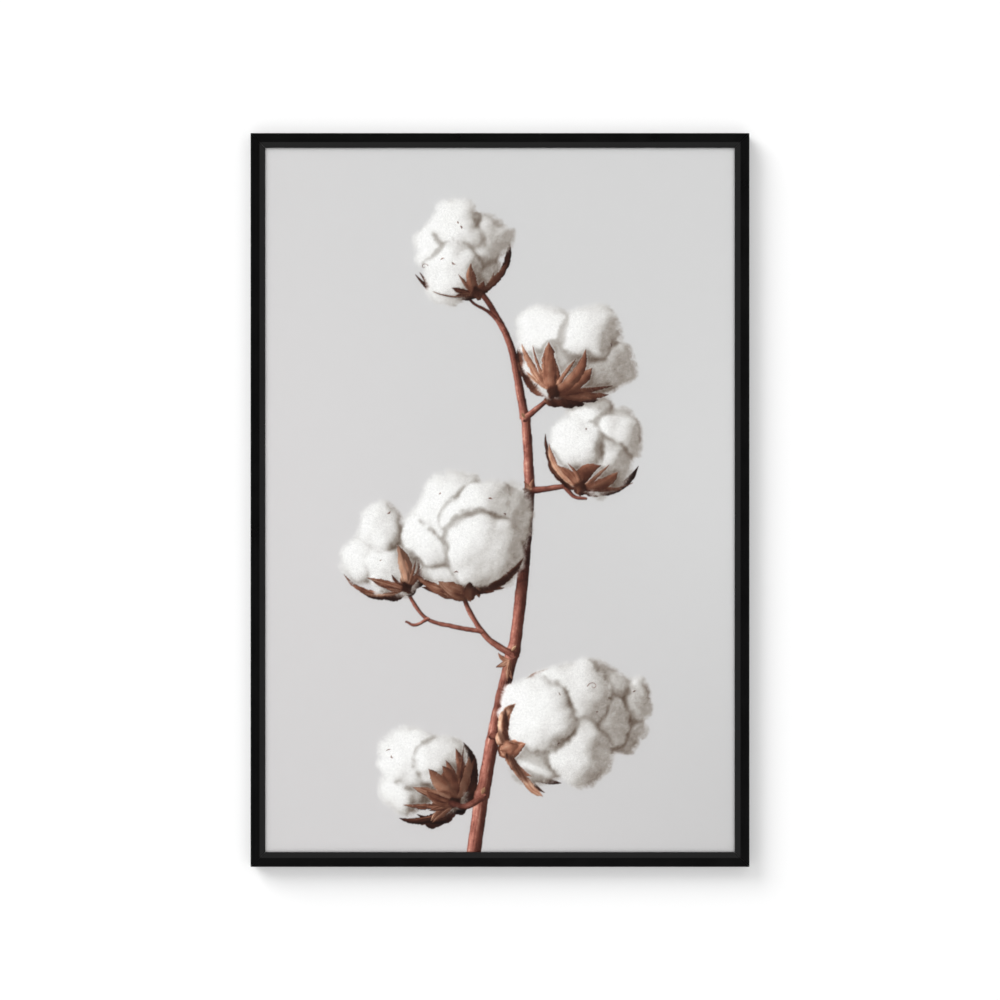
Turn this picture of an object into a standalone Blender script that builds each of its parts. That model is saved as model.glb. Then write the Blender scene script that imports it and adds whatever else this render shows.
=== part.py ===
"""Framed print for a wall: four mitred black mouldings round a glazed 61 x 91 cm print and its backing board.

Metres, +Z up. The print faces -Y and the wall is the plane y = 0. The origin is on the wall, at mid width,
level with the notches that hang on the two wall pins.
"""

import math

import bmesh
import bpy
from mathutils import Matrix, Vector

MM = 0.001
GAP = 0.3 * MM  # the clearance between any two pieces that touch

# What shows, and the sheets behind it
SIGHT_W, SIGHT_H = 600 * MM, 900 * MM
SHEET_W, SHEET_H = 610 * MM, 910 * MM
GLAZING_T = 2.0 * MM
PRINT_T = 0.3 * MM
BOARD_T = 3.0 * MM

# Moulding section
FACE_W = 18.5 * MM
FLAT_W = 11.5 * MM  # the flat front, before the slope down to the sight edge
DEPTH = 22 * MM
SLOPE_DROP = 3 * MM
LIP_T = 3 * MM
RABBET_W = 6 * MM
OUTER_ROUND = 1.2 * MM
SLOPE_ROUND = 0.8 * MM
SMALL_ROUND = 0.4 * MM
ARC_STEPS = 4

# Fittings
BUMPER_R, BUMPER_T = 5 * MM, 2.2 * MM
TAB_W, TAB_T = 9 * MM, 0.5 * MM
TAB_IN, TAB_OUT = 7 * MM, 12 * MM  # driven into the wood, and lying over the board
VNAIL_ARM, VNAIL_T, VNAIL_DEEP = 5 * MM, 0.6 * MM, 10 * MM
VNAIL_FROM_CORNER = (3.2 * MM, 8.2 * MM)  # each apex's distance in from both outer edges
HANGER_W, HANGER_H, HANGER_T = 45 * MM, 9 * MM, 0.8 * MM
HANGER_OFF_CENTRE = 160 * MM
HANGER_LIFT = 1.2 * MM  # the toothed middle stands clear of the wood, for a pin's head
HANGER_FLAT = 13.5 * MM  # half length of the lifted middle
HANGER_RAMP = 15 * MM  # half length to the ramps' feet
HANGER_EAR = 16 * MM  # half length to where the full height of an ear starts
TEETH, TOOTH_H = 12, 1.2 * MM
STRIP_H = 4.5 * MM  # the toothed strip's height above its notches
NAIL_R, NAIL_LONG, NAIL_HEAD_R, NAIL_HEAD_T = 0.7 * MM, 10 * MM, 1.7 * MM, 0.7 * MM
NAIL_OUT = 19.3 * MM  # a nail's distance from its hanger's middle
ROUND_SIDES = 24

# Worked out from the above
OUTER_W = SIGHT_W + 2 * FACE_W
OUTER_H = SIGHT_H + 2 * FACE_W
LAND_W = FACE_W - RABBET_W  # the width of a moulding's back
BACK_Y = -(BUMPER_T + GAP)
FRONT_Y = BACK_Y - DEPTH
LIP_BACK_Y = FRONT_Y + SLOPE_DROP + LIP_T
GLAZING_Y = LIP_BACK_Y + GAP
PRINT_Y = GLAZING_Y + GLAZING_T + GAP
BOARD_Y = PRINT_Y + PRINT_T + GAP
TAB_Y = BOARD_Y + BOARD_T + GAP
HANG_DROP = (LAND_W - HANGER_H) / 2 + STRIP_H  # from the top edge down to the notches
TOP_Z = HANG_DROP
CENTRE_Z = TOP_Z - OUTER_H / 2
BOTTOM_Z = TOP_Z - OUTER_H
TABS_ON_RAIL, TABS_ON_STILE = 3, 4


def clear_scene():
    for obj in list(bpy.data.objects):
        bpy.data.objects.remove(obj, do_unlink=True)


def collection(name):
    made = bpy.data.collections.new(name)
    bpy.context.scene.collection.children.link(made)
    return made


def material(name, colour, roughness, metallic=0.0, alpha=1.0):
    made = bpy.data.materials.new(name)
    made.use_nodes = True
    shader = made.node_tree.nodes["Principled BSDF"]
    shader.inputs["Base Color"].default_value = (*colour, 1.0)
    shader.inputs["Roughness"].default_value = roughness
    shader.inputs["Metallic"].default_value = metallic
    shader.inputs["Alpha"].default_value = alpha
    made.diffuse_color = (*colour, alpha)
    return made


def place(name, mesh, where, finish=None):
    """A mesh as a named object in its collection. Without a finish it is a cutter."""
    obj = bpy.data.objects.new(name, mesh)
    where.objects.link(obj)
    if finish is None:
        obj.hide_render = True
        obj.display_type = "WIRE"
    else:
        mesh.materials.append(finish)
    return obj


def rounded(corners):
    """An outline from (x, y, radius) corners, each rounded by an arc where its radius isn't 0."""
    points = []
    for i, (x, y, radius) in enumerate(corners):
        here = Vector((x, y))
        if radius == 0:
            points.append(here)
            continue
        before = (Vector(corners[i - 1][:2]) - here).normalized()
        after = (Vector(corners[(i + 1) % len(corners)][:2]) - here).normalized()
        half = before.angle(after) / 2
        centre = here + (before + after).normalized() * (radius / math.sin(half))
        start = here + before * (radius / math.tan(half)) - centre
        turn = math.pi - 2 * half
        side = 1 if before.x * after.y - before.y * after.x < 0 else -1
        for k in range(ARC_STEPS + 1):
            angle = side * turn * k / ARC_STEPS
            swing = Matrix.Rotation(angle, 2)
            points.append(centre + swing @ start)
    return points


def plate(outline, low, high, holes=(), lines=()):
    """A flat plate in the XZ plane from y = low to y = high: a filled 2D curve, extruded, made a mesh.

    holes are (x, z, radius). lines are x values where the mesh gets an edge, so that it can be bent there.
    """
    curve = bpy.data.curves.new("outline", "CURVE")
    curve.dimensions = "2D"
    curve.fill_mode = "BOTH"
    curve.extrude = (high - low) / 2
    rings = [outline]
    for x, z, radius in holes:
        angles = [math.tau * k / ROUND_SIDES for k in range(ROUND_SIDES)]
        rings.append([Vector((x + radius * math.cos(a), z + radius * math.sin(a))) for a in angles])
    for ring in rings:
        spline = curve.splines.new("POLY")
        spline.points.add(len(ring) - 1)
        spline.use_cyclic_u = True
        for point, at in zip(spline.points, ring):
            point.co = (at[0], at[1], 0, 1)
    source = bpy.data.objects.new("outline", curve)
    bpy.context.scene.collection.objects.link(source)
    bpy.context.view_layer.update()
    seen = source.evaluated_get(bpy.context.evaluated_depsgraph_get())
    mesh = bpy.data.meshes.new_from_object(seen)
    bpy.data.objects.remove(source)
    bpy.data.curves.remove(curve)
    stand = Matrix.Translation((0, (low + high) / 2, 0)) @ Matrix.Rotation(math.pi / 2, 4, "X")
    work = bmesh.new()
    work.from_mesh(mesh)
    bmesh.ops.remove_doubles(work, verts=work.verts, dist=0.01 * MM)
    bmesh.ops.transform(work, matrix=stand, verts=work.verts)
    for x in lines:
        bmesh.ops.bisect_plane(
            work, geom=work.verts[:] + work.edges[:] + work.faces[:], plane_co=(x, 0, 0), plane_no=(1, 0, 0)
        )
    bmesh.ops.recalc_face_normals(work, faces=work.faces)
    work.to_mesh(mesh)
    work.free()
    return mesh


def box(low, high):
    """A box between two corners."""
    low, high = Vector(low), Vector(high)
    mesh = bpy.data.meshes.new("box")
    work = bmesh.new()
    bmesh.ops.create_cube(work, size=1)
    fit = Matrix.Translation((low + high) / 2) @ Matrix.Diagonal((*(high - low), 1))
    bmesh.ops.transform(work, matrix=fit, verts=work.verts)
    work.to_mesh(mesh)
    work.free()
    return mesh


def rod(radius, low, high):
    """A round bar along Y, from y = low to y = high."""
    mesh = bpy.data.meshes.new("rod")
    work = bmesh.new()
    turn = Matrix.Translation((0, (low + high) / 2, 0)) @ Matrix.Rotation(math.pi / 2, 4, "X")
    bmesh.ops.create_cone(
        work,
        cap_ends=True,
        segments=ROUND_SIDES,
        radius1=radius,
        radius2=radius,
        depth=high - low,
        matrix=turn,
    )
    work.to_mesh(mesh)
    work.free()
    return mesh


def cut(obj, cutter):
    """Takes the cutter's shape out of obj."""
    boolean = obj.modifiers.new(cutter.name, "BOOLEAN")
    boolean.operation = "DIFFERENCE"
    boolean.object = cutter


def sides():
    """(name, turn about Y, outer edge's middle, length) of the four mouldings, clockwise from the top."""
    return (
        ("rail_top", 0.0, Vector((0, 0, TOP_Z)), OUTER_W),
        ("stile_right", math.pi / 2, Vector((OUTER_W / 2, 0, CENTRE_Z)), OUTER_H),
        ("rail_bottom", math.pi, Vector((0, 0, BOTTOM_Z)), OUTER_W),
        ("stile_left", -math.pi / 2, Vector((-OUTER_W / 2, 0, CENTRE_Z)), OUTER_H),
    )


def moulding_section():
    """The moulding's section as (distance in from the outer edge, y)."""
    return rounded(
        (
            (0, BACK_Y, SMALL_ROUND),
            (0, FRONT_Y, OUTER_ROUND),
            (FLAT_W, FRONT_Y, SLOPE_ROUND),
            (FACE_W, FRONT_Y + SLOPE_DROP, SMALL_ROUND),
            (FACE_W, LIP_BACK_Y, 0),
            (LAND_W, LIP_BACK_Y, 0),
            (LAND_W, BACK_Y, 0),
        )
    )


def moulding(name, turn, middle, length, where, finish):
    """One moulding: its section swept along X, both ends cut to 45 degrees, then turned into place."""
    mesh = bpy.data.meshes.new(name)
    work = bmesh.new()
    ring = [work.verts.new((-length / 2, y, -inward)) for inward, y in moulding_section()]
    section = work.faces.new(ring)
    swept = bmesh.ops.extrude_face_region(work, geom=[section])["geom"]
    far = [item for item in swept if isinstance(item, bmesh.types.BMVert)]
    bmesh.ops.translate(work, verts=far, vec=(length, 0, 0))
    for end in (-1, 1):
        slope = Vector((end, 0, -1)).normalized()
        corner = Vector((end * length / 2, 0, 0)) - slope * GAP / 2
        whole = work.verts[:] + work.edges[:] + work.faces[:]
        bmesh.ops.bisect_plane(work, geom=whole, plane_co=corner, plane_no=slope, clear_outer=True)
        bmesh.ops.holes_fill(work, edges=[e for e in work.edges if e.is_boundary])
    bmesh.ops.recalc_face_normals(work, faces=work.faces)
    work.to_mesh(mesh)
    work.free()
    obj = place(name, mesh, where, finish)
    obj.rotation_euler.y = turn
    obj.location = middle
    mesh.shade_smooth()
    mesh.set_sharp_from_angle(angle=math.radians(40))
    return obj


def make_mouldings(where, finish):
    return {side[0]: moulding(*side, where, finish) for side in sides()}


def sheet(name, width, height, y, thickness, where, finish):
    low = (-width / 2, y, CENTRE_Z - height / 2)
    high = (width / 2, y + thickness, CENTRE_Z + height / 2)
    return place(name, box(low, high), where, finish)


def tab_outline():
    """A framing point: a tapered spike that goes into the wood, and a round end over the board."""
    half = TAB_W / 2
    return rounded(
        (
            (-half, 0, 0),
            (-half * 0.55, TAB_IN, 0),
            (half * 0.55, TAB_IN, 0),
            (half, 0, 0),
            (half, -TAB_OUT, half * 0.7),
            (-half, -TAB_OUT, half * 0.7),
        )
    )


def make_tabs(mouldings, where, cutters, finish):
    """Framing points along each moulding, evenly spaced, each in a slot in the rabbet's wall."""
    for name, turn, middle, length in sides():
        count = TABS_ON_RAIL if name.startswith("rail") else TABS_ON_STILE
        for k in range(count):
            along = length * ((k + 0.5) / count - 0.5)
            frame = Matrix.Translation(middle) @ Matrix.Rotation(turn, 4, "Y")
            seat = frame @ Matrix.Translation((along, 0, -LAND_W))
            tab = place(f"tab_{name}_{k + 1}", plate(tab_outline(), TAB_Y, TAB_Y + TAB_T), where, finish)
            tab.matrix_world = seat
            low = (-TAB_W / 2 - GAP, TAB_Y - GAP, -LAND_W / 2)
            high = (TAB_W / 2 + GAP, TAB_Y + TAB_T + GAP, TAB_IN + GAP)
            slot = place(f"slot_{name}_{k + 1}", box(low, high), cutters)
            slot.matrix_world = seat
            cut(mouldings[name], slot)


def vnail_outline(clearance, right, up):
    """An angle with one arm along each moulding. clearance grows it all round."""
    long = VNAIL_ARM + clearance
    thick = VNAIL_T + clearance
    corners = ((-clearance, -clearance), (long, -clearance), (long, thick), (thick, thick))
    mirrored = [(z, x) for x, z in reversed(corners[:-1])]
    return [Vector((-right * x, -up * z)) for x, z in (*corners, *mirrored[:-1])]


def make_vnails(mouldings, where, cutters, finish):
    """Two V-nails pressed in across each mitre from behind."""
    corners = (
        ("top_right", 1, 1, ("rail_top", "stile_right")),
        ("bottom_right", 1, -1, ("rail_bottom", "stile_right")),
        ("bottom_left", -1, -1, ("rail_bottom", "stile_left")),
        ("top_left", -1, 1, ("rail_top", "stile_left")),
    )
    for corner, right, up, joined in corners:
        for k, inset in enumerate(VNAIL_FROM_CORNER):
            apex = Vector((right * (OUTER_W / 2 - inset), 0, CENTRE_Z + up * (OUTER_H / 2 - inset)))
            top = BACK_Y - GAP
            body = plate(vnail_outline(0, right, up), top - VNAIL_DEEP, top)
            nail = place(f"vnail_{corner}_{k + 1}", body, where, finish)
            nail.location = apex
            hollow = plate(vnail_outline(GAP, right, up), top - VNAIL_DEEP - GAP, top + 10 * GAP)
            pocket = place(f"pocket_{corner}_{k + 1}", hollow, cutters)
            pocket.location = apex
            for name in joined:
                cut(mouldings[name], pocket)


def hanger_outline():
    """A sawtooth hanger, its notches at z = 0: a strip with a toothed lower edge between two full ears."""
    low, high = STRIP_H - HANGER_H, STRIP_H
    pitch = 2 * HANGER_FLAT / TEETH
    teeth = []
    for k in range(TEETH):
        left = -HANGER_FLAT + k * pitch
        teeth += [(left, 0, 0), (left + pitch / 2, -TOOTH_H, 0)]
    return rounded(
        (
            (-HANGER_W / 2, low, 1.5 * MM),
            (-HANGER_EAR, low, 0.8 * MM),
            (-HANGER_EAR, 0, 0),
            *teeth,
            (HANGER_FLAT, 0, 0),
            (HANGER_EAR, 0, 0),
            (HANGER_EAR, low, 0.8 * MM),
            (HANGER_W / 2, low, 1.5 * MM),
            (HANGER_W / 2, high, 1.5 * MM),
            (-HANGER_W / 2, high, 1.5 * MM),
        )
    )


def hanger_mesh():
    """The hanger's plate with its middle lifted off the wood by two ramps."""
    y = BACK_Y + GAP
    middle_z = STRIP_H - HANGER_H / 2
    holes = [(side * NAIL_OUT, middle_z, NAIL_R + GAP) for side in (-1, 1)]
    lines = (-HANGER_RAMP, -HANGER_FLAT, HANGER_FLAT, HANGER_RAMP)
    mesh = plate(hanger_outline(), y, y + HANGER_T, holes, lines)
    for vertex in mesh.vertices:
        share = (HANGER_RAMP - abs(vertex.co.x)) / (HANGER_RAMP - HANGER_FLAT)
        vertex.co.y += HANGER_LIFT * min(1.0, max(0.0, share))
    return mesh


def nail_mesh(head_y):
    """A turned nail along -Y, the underside of its head at y = head_y: a profile and a Screw modifier."""
    profile = (
        (0, NAIL_HEAD_T),
        (NAIL_HEAD_R * 0.75, NAIL_HEAD_T),
        (NAIL_HEAD_R, NAIL_HEAD_T * 0.45),
        (NAIL_HEAD_R, 0),
        (NAIL_R, 0),
        (NAIL_R, -NAIL_LONG + 2 * NAIL_R),
        (0, -NAIL_LONG),
    )
    line = bpy.data.meshes.new("nail_profile")
    line.from_pydata([(x, 0, z) for x, z in profile], [(k, k + 1) for k in range(len(profile) - 1)], [])
    source = bpy.data.objects.new("nail_profile", line)
    bpy.context.scene.collection.objects.link(source)
    screw = source.modifiers.new("turn", "SCREW")
    screw.steps = screw.render_steps = ROUND_SIDES
    screw.use_merge_vertices = True
    screw.merge_threshold = 0.00001
    bpy.context.view_layer.update()
    seen = source.evaluated_get(bpy.context.evaluated_depsgraph_get())
    mesh = bpy.data.meshes.new_from_object(seen)
    bpy.data.objects.remove(source)
    mesh.transform(Matrix.Translation((0, head_y, 0)) @ Matrix.Rotation(-math.pi / 2, 4, "X"))
    return mesh


def make_hangers(mouldings, where, cutters, finish):
    """Two sawtooth hangers on the top rail's back, each held by two nails."""
    for side, right in (("left", 1), ("right", -1)):  # named as seen from the front
        middle = Vector((-right * HANGER_OFF_CENTRE, 0, 0))
        hanger = place(f"hanger_{side}", hanger_mesh(), where, finish)
        hanger.location = middle
        for k, out in enumerate((-NAIL_OUT, NAIL_OUT)):
            at = middle + Vector((out, 0, STRIP_H - HANGER_H / 2))
            shape = nail_mesh(BACK_Y + HANGER_T + 2 * GAP)
            nail = place(f"hanger_nail_{side}_{k + 1}", shape, where, finish)
            nail.location = at
            hole = rod(NAIL_R + GAP, BACK_Y - NAIL_LONG, BACK_Y + NAIL_HEAD_T)
            pilot = place(f"pilot_{side}_{k + 1}", hole, cutters)
            pilot.location = at
            cut(mouldings["rail_top"], pilot)


def shade_cut_faces(mouldings):
    """Keeps each flat face shaded flat beside the rounded edges, after all the cuts."""
    for moulded in mouldings.values():
        normals = moulded.modifiers.new("flat_faces", "WEIGHTED_NORMAL")
        normals.keep_sharp = True


def make_bumpers(where, finish):
    """Two round rubber bumpers at the back of the bottom rail. Their flat backs meet the wall."""
    for side, right in (("left", -1), ("right", 1)):
        bumper = place(f"bumper_{side}", rod(BUMPER_R, -BUMPER_T, 0), where, finish)
        bumper.location = (right * (OUTER_W / 2 - 2 * FACE_W), 0, BOTTOM_Z + LAND_W / 2)
        edge = bumper.modifiers.new("edge", "BEVEL")
        edge.width = SMALL_ROUND
        edge.segments = 2


def main():
    clear_scene()
    framed_print = collection("framed_print")
    cutters = collection("cutters")
    black = material("black_moulding", (0.006, 0.006, 0.006), 0.45)
    acrylic = material("clear_acrylic", (1.0, 1.0, 1.0), 0.05, alpha=0.15)
    paper = material("printed_paper", (0.68, 0.67, 0.67), 0.55)
    hardboard = material("hardboard", (0.22, 0.12, 0.06), 0.75)
    steel = material("steel", (0.55, 0.55, 0.56), 0.35, metallic=1.0)
    brass = material("brassed_steel", (0.78, 0.57, 0.22), 0.3, metallic=1.0)
    rubber = material("rubber", (0.03, 0.03, 0.03), 0.8)

    mouldings = make_mouldings(framed_print, black)
    sheet("glazing", SHEET_W, SHEET_H, GLAZING_Y, GLAZING_T, framed_print, acrylic)
    sheet("print_sheet", SHEET_W, SHEET_H, PRINT_Y, PRINT_T, framed_print, paper)
    sheet("backing_board", SHEET_W, SHEET_H, BOARD_Y, BOARD_T, framed_print, hardboard)
    make_tabs(mouldings, framed_print, cutters, steel)
    make_vnails(mouldings, framed_print, cutters, steel)
    make_hangers(mouldings, framed_print, cutters, brass)
    shade_cut_faces(mouldings)
    make_bumpers(framed_print, rubber)


main()
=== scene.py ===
"""The looks of a framed print: a black mitred frame, clear glazing, and a picture of a cotton stem."""

import math

import bpy
import numpy as np
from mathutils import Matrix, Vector


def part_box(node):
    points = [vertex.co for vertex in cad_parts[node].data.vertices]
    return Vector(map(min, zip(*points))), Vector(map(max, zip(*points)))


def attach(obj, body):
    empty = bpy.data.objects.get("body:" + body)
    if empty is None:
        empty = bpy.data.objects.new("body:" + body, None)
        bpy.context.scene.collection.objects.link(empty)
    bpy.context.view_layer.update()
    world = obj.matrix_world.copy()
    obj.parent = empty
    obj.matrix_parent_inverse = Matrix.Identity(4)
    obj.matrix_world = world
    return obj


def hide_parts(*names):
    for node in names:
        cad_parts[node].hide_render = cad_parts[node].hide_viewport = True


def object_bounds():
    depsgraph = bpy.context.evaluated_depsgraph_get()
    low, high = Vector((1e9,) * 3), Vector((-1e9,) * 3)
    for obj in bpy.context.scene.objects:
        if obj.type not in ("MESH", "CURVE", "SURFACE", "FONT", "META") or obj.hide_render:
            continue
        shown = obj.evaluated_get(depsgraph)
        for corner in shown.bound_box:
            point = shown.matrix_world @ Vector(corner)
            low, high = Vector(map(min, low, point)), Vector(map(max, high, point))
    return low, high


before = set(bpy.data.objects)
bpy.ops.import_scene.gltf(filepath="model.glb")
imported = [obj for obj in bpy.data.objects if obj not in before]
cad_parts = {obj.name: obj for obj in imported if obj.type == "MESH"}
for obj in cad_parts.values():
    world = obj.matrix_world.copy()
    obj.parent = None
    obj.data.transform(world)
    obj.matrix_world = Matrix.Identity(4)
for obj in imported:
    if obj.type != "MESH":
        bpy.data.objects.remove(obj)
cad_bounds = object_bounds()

MM = 0.001

# Where the frame is
LOW, HIGH = (Vector(corner) for corner in cad_bounds)
MIDDLE = (LOW + HIGH) / 2
WALL_Y = HIGH.y

# The view
LENS_MM, SENSOR_MM = 100.0, 36.0
VIEW_ACROSS = 1.2765  # what the camera's view spans at the front of the frame, in metres

# The printed picture, in mm on the sheet from its middle
SAMPLE = 0.6  # between the samples that the picture is painted at
PICTURE_SEED = 7


# ---------- noise and other number fields


def smoothstep(low, high, value):
    t = np.clip((value - low) / (high - low), 0, 1)
    return t * t * (3 - 2 * t)


def spline_weights(count, cells):
    """The cubic B-spline weights that spread `cells` values evenly over `count` samples."""
    at = np.linspace(0, cells - 4, count)
    first = np.minimum(at.astype(int), cells - 4)
    t = (at - first)[:, None]
    parts = ((1 - t) ** 3, 3 * t**3 - 6 * t**2 + 4, -3 * t**3 + 3 * t**2 + 3 * t + 1, t**3)
    weights = np.zeros((count, cells))
    for k, part in enumerate(parts):
        weights[np.arange(count), first + k] += part[:, 0] / 6
    return weights


def smooth_noise(shape, grain, rng):
    """Smooth noise of unit spread whose bumps are about `grain` samples wide."""
    cells = [int(n / grain) + 5 for n in shape]
    values = rng.normal(size=cells)
    field = spline_weights(shape[0], cells[0]) @ values @ spline_weights(shape[1], cells[1]).T
    return field / field.std()


def fractal(shape, grain, octaves, rng, fade):
    """Smooth noise with finer and fainter noise over it."""
    total = sum(fade**k * smooth_noise(shape, grain / 2**k, rng) for k in range(octaves))
    return total / total.std()


def combed(shape, turn_grain, reach, rng):
    """Noise drawn out along a slowly turning direction, as loose fibres lie."""
    angle = 2.5 * smooth_noise(shape, turn_grain, rng)  # in radians
    step_z, step_x = np.sin(angle).astype(np.float32), np.cos(angle).astype(np.float32)
    speckle = rng.normal(size=shape).astype(np.float32)
    total = speckle.copy()
    for way in (-1, 1):
        z, x = (np.array(grid, np.float32) for grid in np.meshgrid(*map(np.arange, shape), indexing="ij"))
        for _ in range(reach):
            i = np.clip(z, 0, shape[0] - 1).astype(np.int32)
            j = np.clip(x, 0, shape[1] - 1).astype(np.int32)
            z += way * step_z[i, j]
            x += way * step_x[i, j]
            total += speckle[i, j]
    total = blur(total, 0.9)
    return total / total.std()


def blur(field, sigma):
    """Gaussian blur, sigma in samples."""
    edge = int(3 * sigma) + 1
    padded = np.pad(field, edge, mode="edge")
    along_z = np.fft.fftfreq(padded.shape[0])[:, None]
    along_x = np.fft.rfftfreq(padded.shape[1])[None]
    spectrum = np.fft.rfft2(padded) * np.exp(-2 * (np.pi * sigma) ** 2 * (along_x**2 + along_z**2))
    return np.fft.irfft2(spectrum, padded.shape)[edge:-edge, edge:-edge]


def ramp(value, stops):
    """Colours read from stops of (value, (r, g, b))."""
    at = [stop[0] for stop in stops]
    return np.stack([np.interp(value, at, [stop[1][k] for stop in stops]) for k in range(3)], axis=-1)


def unit(vector):
    return vector / np.maximum(np.linalg.norm(vector, axis=-1, keepdims=True), 1e-6)


# ---------- painting in relief
#
# The picture is modelled as a relief and then lit. X runs right, Z up and Y to the viewer, in mm
# from the sheet's middle. Shapes are laid on each other from behind forward.

LIGHT_FROM = unit(np.array((-0.84, 0.34, 0.46)))
EMPTY = -300.0  # how far back the ground lies, so that it takes no shadow

# A relief's fields: cover, depth, share of cotton, facing and tint
COVER, DEPTH, WOOL, FACING, TINT = 0, 1, 2, slice(3, 6), slice(6, 9)
FIELDS = 9

# Display colours: cotton's by the light on it, the others' by noise
COTTON = (
    (0.00, (58, 42, 33)),
    (0.12, (104, 89, 78)),
    (0.26, (154, 146, 138)),
    (0.42, (194, 190, 185)),
    (0.60, (220, 218, 215)),
    (0.78, (236, 235, 233)),
    (0.95, (247, 247, 245)),
    (1.15, (253, 253, 252)),
)
BARK = ((-1.8, (104, 58, 48)), (-0.4, (162, 100, 86)), (0.6, (186, 122, 106)), (1.8, (222, 172, 152)))
HUSK = ((-2.2, (98, 58, 44)), (-0.8, (158, 106, 84)), (0.4, (204, 154, 126)), (1.8, (242, 206, 178)))
DARK_HUSK = ((-2.0, (62, 36, 28)), (0.0, (124, 78, 62)), (1.8, (184, 130, 104)))
PALE_SCAR = ((-2.0, (120, 84, 62)), (0.0, (186, 146, 112)), (2.0, (226, 196, 160)))


class Relief:
    """What shows at each sample of the sheet: its cover, depth, share of cotton, facing and tint."""

    def __init__(self, width, height, step, seed):
        self.step = step
        self.x = np.arange(-width / 2, width / 2 + step / 2, step)
        self.z = np.arange(-height / 2, height / 2 + step / 2, step)
        self.shape = (len(self.z), len(self.x))
        self.fields = np.zeros((*self.shape, FIELDS), np.float32)
        self.rng = np.random.default_rng(seed)
        # Noise over the sheet, by how wide its bumps are in mm
        self.bulge = fractal(self.shape, 20 / step, 2, self.rng, 0.5)
        self.warp_x = fractal(self.shape, 17 / step, 3, self.rng, 0.42)
        self.warp_z = fractal(self.shape, 17 / step, 3, self.rng, 0.42)
        self.grain = fractal(self.shape, 6 / step, 3, self.rng, 0.6)
        self.fibre = combed(self.shape, 11 / step, int(4.8 / step), self.rng)

    def window(self, low, high):
        """The slices that hold a box of mm."""
        i0, i1 = np.searchsorted(self.z, (low[1], high[1]))
        j0, j1 = np.searchsorted(self.x, (low[0], high[0]))
        return slice(i0, i1), slice(j0, j1)

    def lay(self, window, alpha, depth, facing, tint, cotton):
        """Covers a window with a shape, by its alpha. Every field is kept times the sample's cover."""
        new = np.empty((*alpha.shape, FIELDS), np.float32)
        new[..., COVER] = 1
        new[..., DEPTH] = depth
        new[..., WOOL] = cotton
        new[..., FACING] = facing
        new[..., TINT] = tint
        self.fields[window] += alpha[..., None] * (new - self.fields[window])

    @property
    def cover(self):
        return self.fields[..., COVER]

    def depth_near(self, window, sigma):
        """How far forward the shapes stand there, smoothed."""
        solid = np.maximum(blur(self.cover[window], sigma / self.step), 0.05)
        return blur(self.fields[window][..., DEPTH], sigma / self.step) / solid


# ---------- strokes: stems, twigs and husks

STROKE_MARGIN = 3.0  # mm of samples past a stroke's edge
FAR_OFF = 1000.0  # mm, for a sample that the stroke isn't near


def curve_through(points, spacing):
    """A smooth curve through points of (x, z, half width, depth), with a point about every `spacing` mm."""
    p = np.array(points, float)
    p = np.vstack((2 * p[0] - p[1], p, 2 * p[-1] - p[-2]))
    runs = []
    for a, b, c, d in zip(p, p[1:], p[2:], p[3:]):
        count = max(2, int(np.hypot(*(c - b)[:2]) / spacing))
        t = np.linspace(0, 1, count, endpoint=False)[:, None]
        bend = (2 * a - 5 * b + 4 * c - d) * t**2 + (3 * b - a - 3 * c + d) * t**3
        runs.append(0.5 * (2 * b + (c - a) * t + bend))
    return np.vstack((*runs, p[-2][None]))


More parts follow.
